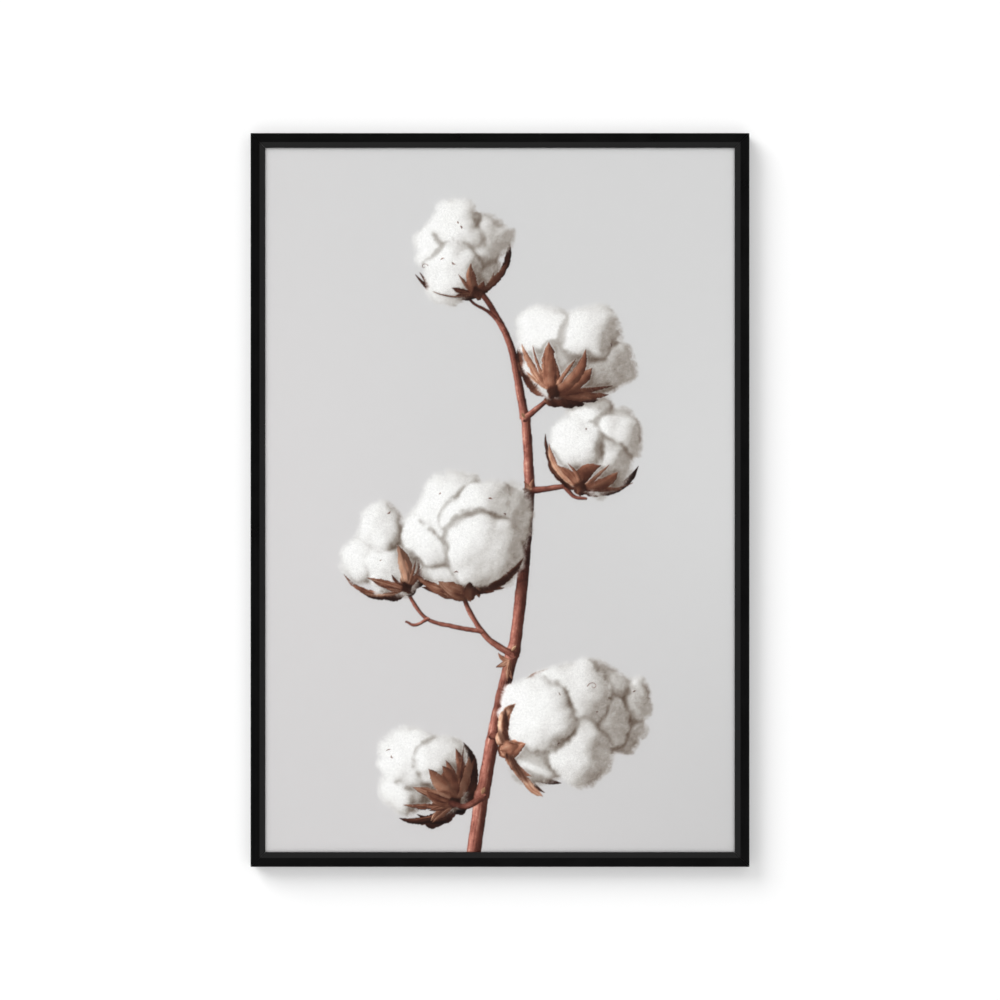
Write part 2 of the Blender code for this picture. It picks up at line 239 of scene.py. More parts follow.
class Stroke:
    """The samples round a curve: how far along and across it each is, and its half width and depth there."""

    def __init__(self, relief, points, spacing=2.0):
        path = curve_through(points, spacing)
        reach = path[:, 2].max() + STROKE_MARGIN
        low, high = path[:, :2].min(axis=0) - reach, path[:, :2].max(axis=0) + reach
        self.window = relief.window(low, high)
        x, z = np.meshgrid(relief.x[self.window[1]], relief.z[self.window[0]])
        nearest = np.full(x.shape, np.inf)
        side = np.full(x.shape, FAR_OFF)
        self.along, self.depth = np.zeros(x.shape), np.zeros(x.shape)
        self.width = np.ones(x.shape)
        self.across = np.zeros((*x.shape, 2))
        self.length = 0.0
        for a, b in zip(path, path[1:]):
            run = b[:2] - a[:2]
            length = max(np.hypot(*run), 1e-6)
            i0, i1 = np.searchsorted(z[:, 0], (min(a[1], b[1]) - reach, max(a[1], b[1]) + reach))
            j0, j1 = np.searchsorted(x[0], (min(a[0], b[0]) - reach, max(a[0], b[0]) + reach))
            part = (slice(i0, i1), slice(j0, j1))
            dx, dz = x[part] - a[0], z[part] - a[1]
            t = np.clip((dx * run[0] + dz * run[1]) / length**2, 0, 1)
            gap = np.hypot(dx - t * run[0], dz - t * run[1])
            right = dx * run[1] - dz * run[0] > 0
            closer = gap < nearest[part]
            found = (
                (nearest, gap),
                (side, np.where(right, gap, -gap)),
                (self.along, self.length + t * length),
                (self.width, a[2] + t * (b[2] - a[2])),
                (self.depth, a[3] + t * (b[3] - a[3])),
            )
            for field, value in found:
                field[part][closer] = value[closer]
            self.across[part][closer] = (run[1] / length, -run[0] / length)
            self.length += length
        self.width = np.maximum(self.width, 0.05)
        self.place = side / self.width

    def streaks(self, rng, fine, coarse):
        """Noise that runs along the stroke: `fine` half widths across, `coarse` mm long."""
        reach = 1.2  # half widths to each side of the stroke's middle
        rows, cols = int(self.length / coarse) + 8, int(2 * reach / fine) + 8
        values = rng.normal(size=(rows, cols))
        u = np.clip(self.along / coarse + 1, 0, rows - 2.001)
        v = np.clip((self.place + reach) / fine + 1, 0, cols - 2.001)
        i, j = u.astype(int), v.astype(int)
        s, t = smoothstep(0, 1, u - i), smoothstep(0, 1, v - j)
        near = values[i, j] * (1 - s) + values[i + 1, j] * s
        far = values[i, j + 1] * (1 - s) + values[i + 1, j + 1] * s
        return near * (1 - t) + far * t

    def facing(self, bend, front):
        return np.dstack((self.across[..., 0] * bend, self.across[..., 1] * bend, front))


def stem(relief, forward, points):
    """A round stem or twig with fine bark."""
    stroke = Stroke(relief, [(*point, forward) for point in points])
    grain = relief.grain[stroke.window]
    place = stroke.place + 0.22 * grain / stroke.width
    inside = np.clip(place, -1, 1)
    front = np.sqrt(1 - inside**2 + 1e-4)
    marks = 0.5 * stroke.streaks(relief.rng, 0.16, 14.0) + 0.35 * grain + 0.25 * relief.fibre[stroke.window]
    alpha = smoothstep(0.7, -0.7, (np.abs(place) - 1) * stroke.width / relief.step)
    depth = stroke.depth + stroke.width * front
    relief.lay(stroke.window, alpha, depth, stroke.facing(inside, front), ramp(marks, BARK), 0.0)


def husk(relief, points, tints=HUSK, facing=(0.0, 0.0, 1.0), shade=0.0, on_top=False):
    """A dry, ribbed, pointed strip. On top, it rides on whatever lies there."""
    stroke = Stroke(relief, points, 1.5)
    window, width = stroke.window, stroke.width
    lines = stroke.streaks(relief.rng, 0.2, 13.0)
    rough = 0.10 * relief.grain[window] + 0.07 * relief.fibre[window]
    ragged = stroke.place + rough * np.minimum(1, 4 / width)
    alpha = smoothstep(0.7, -0.7, (np.abs(ragged) - 1) * width / relief.step)
    bend = np.clip(0.9 * stroke.place + 0.40 * lines, -1, 1)
    own = stroke.facing(bend, np.sqrt(1.1 - bend**2))
    depth = stroke.depth + width * 0.5 * (1 - np.clip(stroke.place, -1, 1) ** 2)
    if on_top:
        depth = depth + relief.depth_near(window, 3.0)
    rim = smoothstep(0.7, 1.0, np.abs(stroke.place))
    tint = ramp(shade + 0.8 * lines + 0.3 * relief.grain[window] + 0.3 * rim, tints)
    relief.lay(window, alpha, depth, unit(own + 0.9 * np.array(facing)), tint, 0.0)


def toward(x, z, angle, far):
    return x + far * math.cos(angle), z + far * math.sin(angle)


def tendril(relief, x, z, size, start, turn):
    """A thin dry thread that curls up at its end."""
    points, heading, thickness = [], start, 0.55
    for k in range(9):
        points.append((x, z, thickness * (1 - 0.07 * k), 1.0))
        x, z = toward(x, z, heading, size * (1 - 0.06 * k) / 4)
        heading += turn * (0.5 + 0.12 * k)
    husk(relief, points, DARK_HUSK, on_top=True)


def fleck(relief, x, z):
    """A scrap of dry leaf caught in the cotton, if there is cotton all round the place."""
    rng = relief.rng
    heading, long = rng.uniform(0, math.pi), rng.uniform(2.5, 6.5)
    around = 6.0
    window = relief.window((x - around, z - around), (x + around, z + around))
    if relief.fields[window][..., WOOL].min() < 0.9:
        return
    middle = toward(x, z, heading, long / 2)
    end = toward(*middle, heading + 0.6 * rng.normal(), long / 2)
    points = [(x, z, 0.3, 0.8), (*middle, rng.uniform(0.5, 1.2), 0.8), (*end, 0.2, 0.8)]
    husk(relief, points, DARK_HUSK, on_top=True)


def scar(relief, x, z, size, angle):
    """The pale oval where a leaf has dropped."""
    one, other = toward(x, z, angle, size), toward(x, z, angle + math.pi, size)
    points = [(*one, size * 0.3, 1.0), (x, z, size * 0.8, 1.0), (*other, size * 0.3, 1.0)]
    husk(relief, points, PALE_SCAR, on_top=True)


def dry_bud(relief, x, z, size, angle):
    """A withered bud: a few short husks that spread from one place."""
    for turn in (-0.9, 0.7, -0.3, 0.25):
        heading = angle + turn + 0.2 * relief.rng.normal()
        long = size * relief.rng.uniform(0.7, 1.2)
        points = [(x, z, size * 0.10, 2.0)]
        for far, wide in ((0.45, 0.17), (0.8, 0.11), (1.05, 0.03)):
            at = toward(x, z, heading + 0.5 * turn * far, long * far)
            points.append((*at, size * wide, 2.0))
        husk(relief, points, on_top=True)


# ---------- bolls

SMALL_LUMPS = 6  # in each lock, besides its big one
WARP = 1.9  # mm that noise moves a lock's outline by
STALK_END = math.radians(6)  # where the husks start, as an angle at the boll's middle


def lump(x, z, middle, radii, angle, depth, bulk):
    """A rounded lump: how far inside its outline each sample is, in mm, and how far forward it stands."""
    c, s = math.cos(angle), math.sin(angle)
    u = ((x - middle[0]) * c + (z - middle[1]) * s) / radii[0]
    v = ((z - middle[1]) * c - (x - middle[0]) * s) / radii[1]
    q = 1 - u**2 - v**2
    soft = 0.03 * np.logaddexp(0, q / 0.03)
    return q * min(radii) / 2, depth + bulk * np.sqrt(soft) + 6 * bulk * np.minimum(q, 0)


def lock(relief, ball, middle, size, angle, depth):
    """One lock of cotton: a big soft lump with smaller ones swelling out of it.

    ball is its boll's (x, z, radius)."""
    rng = relief.rng
    reach = size * 1.5
    window = relief.window((middle[0] - reach, middle[1] - reach), (middle[0] + reach, middle[1] + reach))
    x, z = np.meshgrid(relief.x[window[1]], relief.z[window[0]])
    warped_x = x + WARP * relief.warp_x[window]
    warped_z = z + WARP * relief.warp_z[window]
    lumps = [(middle, (size * 1.06, size * 0.94), angle, depth, size)]
    for _ in range(SMALL_LUMPS):
        way, far = rng.uniform(0, 2 * math.pi), size * rng.uniform(0.30, 0.66)
        small = size * rng.uniform(0.36, 0.58)
        front = depth + math.sqrt(size**2 - far**2) - small * rng.uniform(0.78, 0.92)
        at = toward(*middle, way, far)
        lumps.append((at, (small * 1.12, small), rng.uniform(0, math.pi), front, small))
    blend = size * 0.07
    inside, front = None, None
    for one in lumps:
        depth_in, forward = lump(warped_x, warped_z, *one)
        inside = depth_in if inside is None else np.maximum(inside, depth_in)
        front = forward if front is None else blend * np.logaddexp(front / blend, forward / blend)
    round_q = 1.15 - ((x - ball[0]) ** 2 + (z - ball[1]) ** 2) / ball[2] ** 2
    dome = 0.75 * ball[2] * np.sqrt(0.05 * np.logaddexp(0, round_q / 0.05))
    rough = 0.9 * relief.bulge[window] + 0.15 * relief.grain[window] + 0.10 * relief.fibre[window]
    puff = front + dome + rough
    slope_z, slope_x = np.gradient(puff, relief.step)
    steep = np.minimum(1, 3.0 / np.maximum(np.hypot(slope_x, slope_z), 1e-6))
    slope_x, slope_z = blur(slope_x * steep, 0.7 / relief.step), blur(slope_z * steep, 0.7 / relief.step)
    facing = unit(np.dstack((-slope_x, -slope_z, np.ones(x.shape))))
    alpha = smoothstep(-3.4, 4.4, inside + 0.55 * relief.fibre[window] + 0.7 * relief.grain[window])
    relief.lay(window, alpha, front, facing, (255, 255, 255), 1.0)


def cup_direction(stalk, lean, polar, azimuth):
    """A direction from a boll's middle, by its angle from the stalk and its angle round the stalk.

    A quarter turn round the stalk is to the front."""
    pole = np.array((math.cos(stalk) * math.cos(lean), math.sin(stalk) * math.cos(lean), math.sin(lean)))
    side = np.array((-math.sin(stalk), math.cos(stalk), 0.0))
    front = np.cross(pole, side)
    front *= 1 if front[2] > 0 else -1
    round_about = math.cos(azimuth) * side + math.sin(azimuth) * front
    along = math.cos(azimuth) * front - math.sin(azimuth) * side
    return math.cos(polar) * pole + math.sin(polar) * round_about, along


def cup_strip(relief, ball, stalk, lean, azimuth, reach, width, flare, tints, depth):
    """A husk that runs from the stalk's end over the boll and lifts off it at the tip."""
    points, faces = [], []
    wander = 0.22 * relief.rng.normal()
    for share in (0.0, 0.18, 0.40, 0.62, 0.82, 1.0):
        polar = STALK_END + (reach - STALK_END) * share
        out, along = cup_direction(stalk, lean, polar, azimuth + wander * share**2)
        far = ball[2] * (0.98 + flare * share**2.5)
        shape = (0.5 + 2.2 * share) * (1 - share) ** 0.75 if share < 1 else 0.03
        seen = max(0.4, math.sqrt(max(0.0, 1 - along[2] ** 2)))
        half_width = max(0.35, width * shape * seen)
        points.append((ball[0] + far * out[0], ball[1] + far * out[1], half_width, depth + far * out[2]))
        faces.append(out)
    facing = np.mean(faces, axis=0)
    shade = 0.7 * relief.rng.normal()
    husk(relief, points, tints, facing=(facing[0], facing[1], abs(facing[2])), shade=shade)


def boll(relief, x, z, radius, stalk, lean=0.2, locks=4, turn=0.0, depth=0.0, strips=9, flecks=5):
    """An open boll: the far side of its dry cup, its locks of cotton, and over them the cup's near side."""
    rng = relief.rng
    ball, stalk = (x, z, radius), math.radians(stalk)
    for azimuth in (-155, -125, -90, -55, -25, 2, 178):
        reach, width = math.radians(rng.uniform(52, 92)), radius * rng.uniform(0.10, 0.17)
        cup_strip(relief, ball, stalk, lean, math.radians(azimuth), reach, width, 0.04, DARK_HUSK, depth)
    order = []
    for k in range(locks):
        way = turn + 2 * math.pi * k / locks + 0.12 * rng.normal()
        far = radius * 0.44 * (1 + 0.10 * rng.normal())
        order.append((radius * 0.16 * rng.normal(), way, far, radius * 0.56 * (1 + 0.09 * rng.normal())))
    for forward, way, far, size in sorted(order):
        lock(relief, ball, toward(x, z, way, far), size, way, depth + forward)
    for azimuth in rng.permutation(np.linspace(8, 172, strips)):
        azimuth = math.radians(azimuth + rng.normal() * 6)
        reach = math.radians(rng.uniform(30, 70))
        width = radius * rng.choice((0.045, 0.08, 0.12, 0.16))
        cup_strip(relief, ball, stalk, lean, azimuth, reach, width, rng.uniform(0.02, 0.12), HUSK, depth)
    pole = [toward(x, z, stalk, far * radius * math.cos(lean)) for far in (1.06, 0.98, 0.86)]
    waist = [(*at, radius * wide, depth + 4) for at, wide in zip(pole, (0.06, 0.13, 0.05))]
    husk(relief, waist, facing=(math.cos(stalk), math.sin(stalk), 0.6), shade=-0.4)
    for _ in range(flecks):
        fleck(relief, *toward(x, z, rng.uniform(0, 2 * math.pi), radius * math.sqrt(rng.uniform(0.05, 0.9))))


# ---------- lighting the relief

SHADOW_STEPS, SHADOW_STRIDE = 33, 1.6  # the way to the light is tested so often, every so many mm
AROUND_LIGHT, LAMP_LIGHT = 0.30, 0.84
SHADOW_LOSS = 0.62  # of the lamp's light, in full shadow
FACING_BLUR = 2.1  # mm, because wool scatters light
CREASES = ((1.6, 2.6, 0.12), (4.5, 6.5, 0.32), (12.0, 15.0, 0.42))  # width and depth in mm, strength
STRAY_FIBRES = 9000
VEIL_REACH = 3.2  # mm of the loosest cotton, past the locks


def moved(field, dz, dx, outside):
    """The field read from (dz, dx) samples away."""
    result = np.full(field.shape, outside, field.dtype)
    rows, cols = field.shape
    to = (slice(max(0, -dz), rows - max(0, dz)), slice(max(0, -dx), cols - max(0, dx)))
    source = (slice(max(0, dz), rows - max(0, -dz)), slice(max(0, dx), cols - max(0, -dx)))
    result[to] = field[source]
    return result


def cast_shadow(height, step):
    """How much of the light each sample loses to what stands between it and the light."""
    across = math.hypot(LIGHT_FROM[0], LIGHT_FROM[1])
    blocked = np.zeros(height.shape, np.float32)
    for k in range(1, SHADOW_STEPS + 1):
        far = SHADOW_STRIDE * k
        dx = round(far * LIGHT_FROM[0] / across / step)
        dz = round(far * LIGHT_FROM[1] / across / step)
        over = moved(height, dz, dx, EMPTY) - height - far * LIGHT_FROM[2] / across
        blocked = np.maximum(blocked, np.clip(over / (2.5 + 0.35 * far), 0, 1))
    return blur(blocked, 1.2 / step)


def crease_light(height, cover, step):
    """1 in the open, less in seams and hollows."""
    light = np.ones(height.shape)
    for sigma, scale, strength in CREASES:
        solid = np.maximum(blur(cover, sigma / step), 1e-3)
        around = blur(height * cover, sigma / step) / solid
        light *= 1 - strength * np.clip((around - height) / scale, 0, 1)
    return light


def lit(relief):
    """The relief's colours in its light, and how much light each sample gets."""
    cover = np.maximum(relief.cover, 1e-3)
    solid = relief.cover > 0.02
    depth = np.where(solid, relief.fields[..., DEPTH] / cover, 0)
    cotton = np.clip(relief.fields[..., WOOL] / cover, 0, 1)
    facings = np.moveaxis(relief.fields[..., FACING], -1, 0)
    soft = np.dstack([blur(part * cotton, FACING_BLUR / relief.step) for part in facings])
    facing = unit(np.where(cotton[..., None] > 0.4, soft, relief.fields[..., FACING]))
    wrap = 0.02 + 0.36 * cotton  # light that reaches round
    direct = np.clip((facing @ LIGHT_FROM + wrap) / (1 + wrap), 0, 1)
    blocked = cast_shadow(np.where(solid, depth, EMPTY), relief.step)
    open_air = blur(crease_light(depth, relief.cover, relief.step), 1.1 / relief.step)
    lamp = LAMP_LIGHT * direct * (1 - SHADOW_LOSS * blocked)
    light = AROUND_LIGHT * open_air + lamp * (0.60 + 0.40 * open_air)
    light = light + cotton * (0.020 * relief.fibre + 0.016 * relief.grain)
    white = ramp(light, COTTON)
    strength = np.clip(0.06 + 1.08 * light[..., None], 0, 1.2) ** (0.90, 1.12, 1.20)
    brown = relief.fields[..., TINT] / cover[..., None] * strength
    return brown * (1 - cotton[..., None]) + white * cotton[..., None], light


def stray_fibres(relief, cotton, count):
    """How much the fine loose fibres round the locks cover."""
    rng, steps = relief.rng, 22
    slope_z, slope_x = np.gradient(blur(cotton, 1.2 / relief.step))
    rows, cols = np.nonzero((cotton > 0.35) & (cotton < 0.9) & (np.hypot(slope_x, slope_z) > 0.02))
    pick = rng.integers(0, len(rows), count)
    rows, cols = rows[pick], cols[pick]
    angle = np.arctan2(-slope_z[rows, cols], -slope_x[rows, cols]) + 0.8 * rng.normal(size=count)
    length = (2.0 + rng.exponential(2.4, count))[:, None] / steps / relief.step
    t = np.linspace(0, 1, steps)[None]
    heading = angle[:, None] + (1.4 * rng.normal(size=count))[:, None] * t
    x = cols[:, None] + np.cumsum(np.cos(heading) * length, axis=1)
    z = rows[:, None] + np.cumsum(np.sin(heading) * length, axis=1)
    weight = np.broadcast_to((1 - t) ** 0.8 * length * 0.10 / relief.step, x.shape)
    i, j = np.floor(z).astype(int), np.floor(x).astype(int)
    s, t = z - i, x - j
    total = np.zeros(relief.shape[0] * relief.shape[1])
    for di, dj, share in ((0, 0, (1 - s) * (1 - t)), (0, 1, (1 - s) * t), (1, 0, s * (1 - t)), (1, 1, s * t)):
        row, col = i + di, j + dj
        there = (row >= 0) & (row < relief.shape[0]) & (col >= 0) & (col < relief.shape[1])
        index = (row * relief.shape[1] + col)[there]
        total += np.bincount(index, (weight * share)[there], len(total))
    return total.reshape(relief.shape)


def ground(relief):
    """The pale grey behind the stem: darker at the lower right, lighter at the sides."""
    x, z = np.meshgrid(relief.x / 300, relief.z / 450)  # about -1..1 over the sheet
    warm = np.clip(0.45 - 0.6 * z - 0.6 * x, 0, 1)
    tone = 212.8 - 0.6 * x + 1.4 * z - 0.6 * z**2 - 7.0 * np.clip(x, 0, None) * np.clip(-z, 0, None)
    tone = tone + 2.6 * np.exp(-((x + 0.9) ** 2) / 0.3 - (z - 0.1) ** 2 / 0.5)
    tone = tone + 3.0 * np.exp(-((x - 0.95) ** 2) / 0.2 - (z - 0.05) ** 2 / 0.3)
    return np.dstack((tone + 1.0 * warm, tone - 0.6 * warm, tone - 0.4 * warm))


def composite(relief):
    """The lit relief over the ground, with loose cotton round the locks, and each sample's cotton."""
    cotton = np.clip(relief.fields[..., WOOL], 0, 1)
    colours, light = lit(relief)
    cover = relief.cover[..., None]
    image = ground(relief) * (1 - cover) + colours * cover
    near = VEIL_REACH / relief.step
    local = blur(light * relief.cover, near * 1.6) / np.maximum(blur(relief.cover, near * 1.6), 0.02)
    haze = ramp(0.20 + 0.80 * local, COTTON)
    veil = np.clip(blur(cotton, near) * 1.25 - 0.16, 0, 0.62)
    veil *= np.clip(1 + 0.25 * relief.fibre + 0.30 * relief.grain, 0, 2)
    veil = (veil * (1 - relief.cover))[..., None]
    image = image * (1 - veil) + haze * veil
    fibres = np.clip(stray_fibres(relief, cotton, STRAY_FIBRES), 0, 0.5)[..., None]
    image = image * (1 - fibres) + (0.35 * haze + 0.65 * 250) * fibres
    return image, np.maximum(cotton, 0.6 * veil[..., 0])


# ---------- the cotton stem


def paint_picture(width, height):
    """The whole picture, in rows from the bottom up: its 0..255 display colours, and its share of cotton."""
    relief = Relief(width, height, SAMPLE, PICTURE_SEED)
    # How far forward each stem is, and its points of (x, z, half width)
    stems = (
        (0, (
            (-36, -470, 9.4), (-25, -390, 9.0), (-23, -378, 10.2), (-20, -366, 8.8),
            (-8, -300, 8.4), (12, -212, 8.2), (16, -196, 9.6), (20, -180, 7.8),
            (30, -90, 7.4), (37, 2, 7.0), (38, 12, 8.6), (38, 24, 6.6),
            (34, 96, 6.0), (32, 108, 7.4), (29, 120, 5.6), (14, 196, 4.6),
            (-12, 248, 3.8), (-32, 276, 3.2),
        )),
        (2, ((32, 104, 4.2), (56, 124, 3.2), (76, 142, 3.2))),
        (2, ((38, 12, 4.8), (70, 16, 3.4), (96, 22, 3.0), (108, 44, 2.8))),
        (1, ((84, 16, 3.0), (96, 4, 2.4), (110, 2, 1.8))),
        (2, ((16, -198, 4.8), (-16, -176, 3.8), (-40, -140, 3.2), (-52, -104, 3.0))),
        (2, ((-24, -168, 3.2), (-58, -162, 2.8), (-96, -150, 2.4), (-122, -112, 2.4))),
        (1, ((-92, -152, 2.4), (-108, -160, 2.0), (-120, -156, 1.4))),
        (2, ((-10, -302, 4.4), (20, -304, 3.6), (44, -298, 3.4))),
        (2, ((-22, -380, 4.6), (-44, -392, 3.8), (-62, -388, 3.6))),
        (1, ((4, 222, 2.8), (-14, 240, 2.2), (-34, 252, 1.8), (-50, 268, 1.8))),
    )
    boll(relief, 142, -268, 60, 200, depth=-34, locks=4, turn=0.6, strips=5, flecks=3)
    boll(relief, -96, -352, 64, 318, depth=-24, lean=0.55, locks=4, turn=0.7, strips=16)
    for forward, points in stems:
        stem(relief, forward, points)
    scars = ((30, 108, 3.0, 2.2), (18, -190, 3.4, 0.9), (-21, -372, 3.6, 1.2), (38, 16, 3.0, 1.0))
    for x, z, size, angle in scars:
        scar(relief, x, z, size, angle)
    dry_bud(relief, 12, -206, 20, -2.4)
    dry_bud(relief, 40, 14, 13, 2.6)
    boll(relief, -52, 322, 64, 292, lean=0.1, locks=5, turn=0.4)
    boll(relief, 124, 74, 66, 250, lean=0.3, depth=-6, locks=4, turn=0.2)
    boll(relief, 94, 192, 70, 244, lean=0.5, depth=8, locks=4, turn=0.9, strips=13)
    boll(relief, -146, -66, 60, 300, lean=0.4, depth=-10, locks=4, turn=1.9, strips=11)
    boll(relief, -46, -42, 80, 276, lean=-0.2, depth=6, locks=5, turn=0.5)
    boll(relief, 84, -296, 82, 196, lean=-0.35, depth=6, locks=5, turn=0.1, strips=7)
    tendril(relief, -20, -110, 16, -0.8, 0.9)
    tendril(relief, 8, -92, 13, -0.4, 1.0)
    tendril(relief, 48, 148, 15, -2.2, -0.9)
    tendril(relief, -92, 300, 9, 2.4, 0.8)
    tendril(relief, 112, -238, 14, 0.9, -0.9)
    colours, cotton = composite(relief)
    return np.clip(colours, 0, 255), cotton


# ---------- shader nodes

MIX_SHARE, MIX_FIRST, MIX_SECOND, MIX_RESULT = 0, 6, 7, 2  # the sockets of a Mix node for colours


def set_sockets(node, values):
    """Sets a node's inputs by their names."""
    for name, value in values.items():
        node.inputs[name].default_value = value


def fill_ramp(node, stops):
    """Gives a colour ramp its stops of (place, linear colour)."""
    elements = node.color_ramp.elements
    while len(elements) < len(stops):
        elements.new(0.5)
    for element, (place, colour) in zip(elements, stops):
        element.position = place
        element.color = (*colour, 1.0)


class Shader:
    """A new material, with short ways to add nodes to it."""

    def __init__(self, name, roughness, metallic=0.0, specular=0.5):
        self.material = bpy.data.materials.new(name)
        self.material.use_nodes = True
        self.nodes = self.material.node_tree.nodes
        self.links = self.material.node_tree.links
        self.surface = self.nodes["Principled BSDF"]
        self.output = self.nodes["Material Output"]
        values = {"Roughness": roughness, "Metallic": metallic, "Specular IOR Level": specular}
        set_sockets(self.surface, values)

    def add(self, kind, **settings):
        node = self.nodes.new(kind)
        for name, value in settings.items():
            setattr(node, name, value)
        return node

    def join(self, source, target):
        self.links.new(source, target)

    def place(self, stretch=(1.0, 1.0, 1.0)):
        """Object coordinates in metres, each axis times its part of stretch."""
        coordinates = self.add("ShaderNodeTexCoord")
        mapping = self.add("ShaderNodeMapping")
        set_sockets(mapping, {"Scale": stretch})
        self.join(coordinates.outputs["Object"], mapping.inputs["Vector"])
        return mapping.outputs["Vector"]

    def noise(self, where, scale, detail=4.0, roughness=0.55, distortion=0.0):
        node = self.add("ShaderNodeTexNoise")
        values = {"Scale": scale, "Detail": detail, "Roughness": roughness, "Distortion": distortion}
        set_sockets(node, values)
        self.join(where, node.inputs["Vector"])
        return node.outputs["Fac"]

    def spread(self, source, low, high, to_low, to_high):
        """source mapped from low..high to to_low..to_high, held at the ends."""
        node = self.add("ShaderNodeMapRange")
        set_sockets(node, {"From Min": low, "From Max": high, "To Min": to_low, "To Max": to_high})
        self.join(source, node.inputs["Value"])
        return node.outputs["Result"]

    def colours(self, source, stops):
        """source 0..1 read from stops of (place, linear colour)."""
        node = self.add("ShaderNodeValToRGB")
        fill_ramp(node, stops)
        self.join(source, node.inputs["Fac"])
        return node.outputs["Color"]

    def blend(self, share, first, second, mode="MIX"):
        """Two colours mixed by share, each a socket or a linear colour."""
        node = self.add("ShaderNodeMix", data_type="RGBA", blend_type=mode)
        for value, place in ((share, MIX_SHARE), (first, MIX_FIRST), (second, MIX_SECOND)):
            if isinstance(value, bpy.types.NodeSocket):
                self.join(value, node.inputs[place])
            else:
                node.inputs[place].default_value = value if isinstance(value, float) else (*value, 1.0)
        return node.outputs[MIX_RESULT]

    def bump(self, height, strength, distance):
        node = self.add("ShaderNodeBump")
        set_sockets(node, {"Strength": strength, "Distance": distance})
        self.join(height, node.inputs["Height"])
        self.join(node.outputs["Normal"], self.surface.inputs["Normal"])

    def feed(self, socket, source):
        self.join(source, self.surface.inputs[socket])

    def show_mixed(self, share, first, second):
        """Shows two shaders, mixed by share."""
        mix = self.add("ShaderNodeMixShader")
        for socket, source in enumerate((share, first, second)):
            self.join(source, mix.inputs[socket])
        self.join(mix.outputs["Shader"], self.output.inputs["Surface"])


def add_object(name, data):
    """A new object in the scene."""
    thing = bpy.data.objects.new(name, data)
    bpy.context.scene.collection.objects.link(thing)
    return thing


def dress(material, *starts):
    """Gives a material to the CAD nodes whose names start so."""
    for name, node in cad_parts.items():
        if name.startswith(starts):
            node.data.materials.clear()
            node.data.materials.append(material)


def black_paint(name, along):
    """Satin black paint over fine wood grain that runs along X or Z."""
    shader = Shader(name, roughness=0.30, specular=0.34)
    stretch = (6.0, 160.0, 160.0) if along == "X" else (160.0, 160.0, 6.0)
    grain = shader.noise(shader.place(stretch), 4.0, detail=5.0, roughness=0.6)
    mottle = shader.noise(shader.place(), 24.0, detail=3.0)
    base = shader.colours(grain, ((0.30, (0.0010, 0.0010, 0.0010)), (0.72, (0.0022, 0.0021, 0.0021))))
    shader.feed("Base Color", base)
    shader.feed("Roughness", shader.spread(mottle, 0.3, 0.7, 0.27, 0.34))
    shader.bump(grain, 0.20, 0.08 * MM)
    return shader.material


def clear_acrylic():
    """Clear glazing: see-through, with a faint low-glare gloss."""
    shader = Shader("clear_acrylic_look", roughness=0.05)
    clear = shader.add("ShaderNodeBsdfTransparent")
    gloss = shader.add("ShaderNodeBsdfGlossy")
    set_sockets(gloss, {"Roughness": 0.06})
    fresnel = shader.add("ShaderNodeFresnel")
    set_sockets(fresnel, {"IOR": 1.18})
    shader.show_mixed(fresnel.outputs["Fac"], clear.outputs["BSDF"], gloss.outputs["BSDF"])
    shader.nodes.remove(shader.surface)
    return shader.material


def hardboard():
    """Brown pressed hardboard: fine dark fibres on a mottled smooth face."""
    shader = Shader("hardboard_look", roughness=0.62, specular=0.3)
    mottle = shader.noise(shader.place(), 9.0, detail=5.0)
    fibres = shader.noise(shader.place((1.0, 1.0, 2.4)), 620.0, detail=3.0, distortion=1.6)
    flecks = shader.noise(shader.place((2.6, 1.0, 1.0)), 260.0, detail=2.0, distortion=2.2)
    base = shader.colours(mottle, ((0.25, (0.225, 0.132, 0.074)), (0.75, (0.285, 0.176, 0.102))))
    base = shader.blend(shader.spread(fibres, 0.38, 0.62, 0.0, 0.75), (0.150, 0.083, 0.046), base)
    base = shader.blend(shader.spread(flecks, 0.64, 0.74, 0.0, 0.55), base, (0.330, 0.215, 0.130))
    shader.feed("Base Color", base)
    shader.feed("Roughness", shader.spread(fibres, 0.3, 0.7, 0.52, 0.72))
    shader.bump(fibres, 0.35, 0.08 * MM)
    return shader.material


def plated_steel(name, colour, dark):
    """Thin plate on steel: fine rolling lines, small dull patches."""
    shader = Shader(name, roughness=0.3, metallic=1.0)
    lines = shader.noise(shader.place((60.0, 60.0, 900.0)), 3.0, detail=3.0)
    dull = shader.noise(shader.place(), 170.0, detail=4.0)
    shader.feed("Base Color", shader.blend(shader.spread(dull, 0.48, 0.72, 0.0, 0.7), colour, dark))
    shader.feed("Roughness", shader.spread(dull, 0.35, 0.7, 0.22, 0.48))
    shader.bump(lines, 0.2, 0.03 * MM)
    return shader.material


def rubber():
    """Moulded black rubber."""
    shader = Shader("rubber_look", roughness=0.75, specular=0.35)
    skin = shader.noise(shader.place(), 1400.0, detail=3.0)
    base = shader.colours(skin, ((0.3, (0.016, 0.016, 0.016)), (0.7, (0.030, 0.029, 0.028))))
    shader.feed("Base Color", base)
    shader.bump(skin, 0.5, 0.05 * MM)
    return shader.material


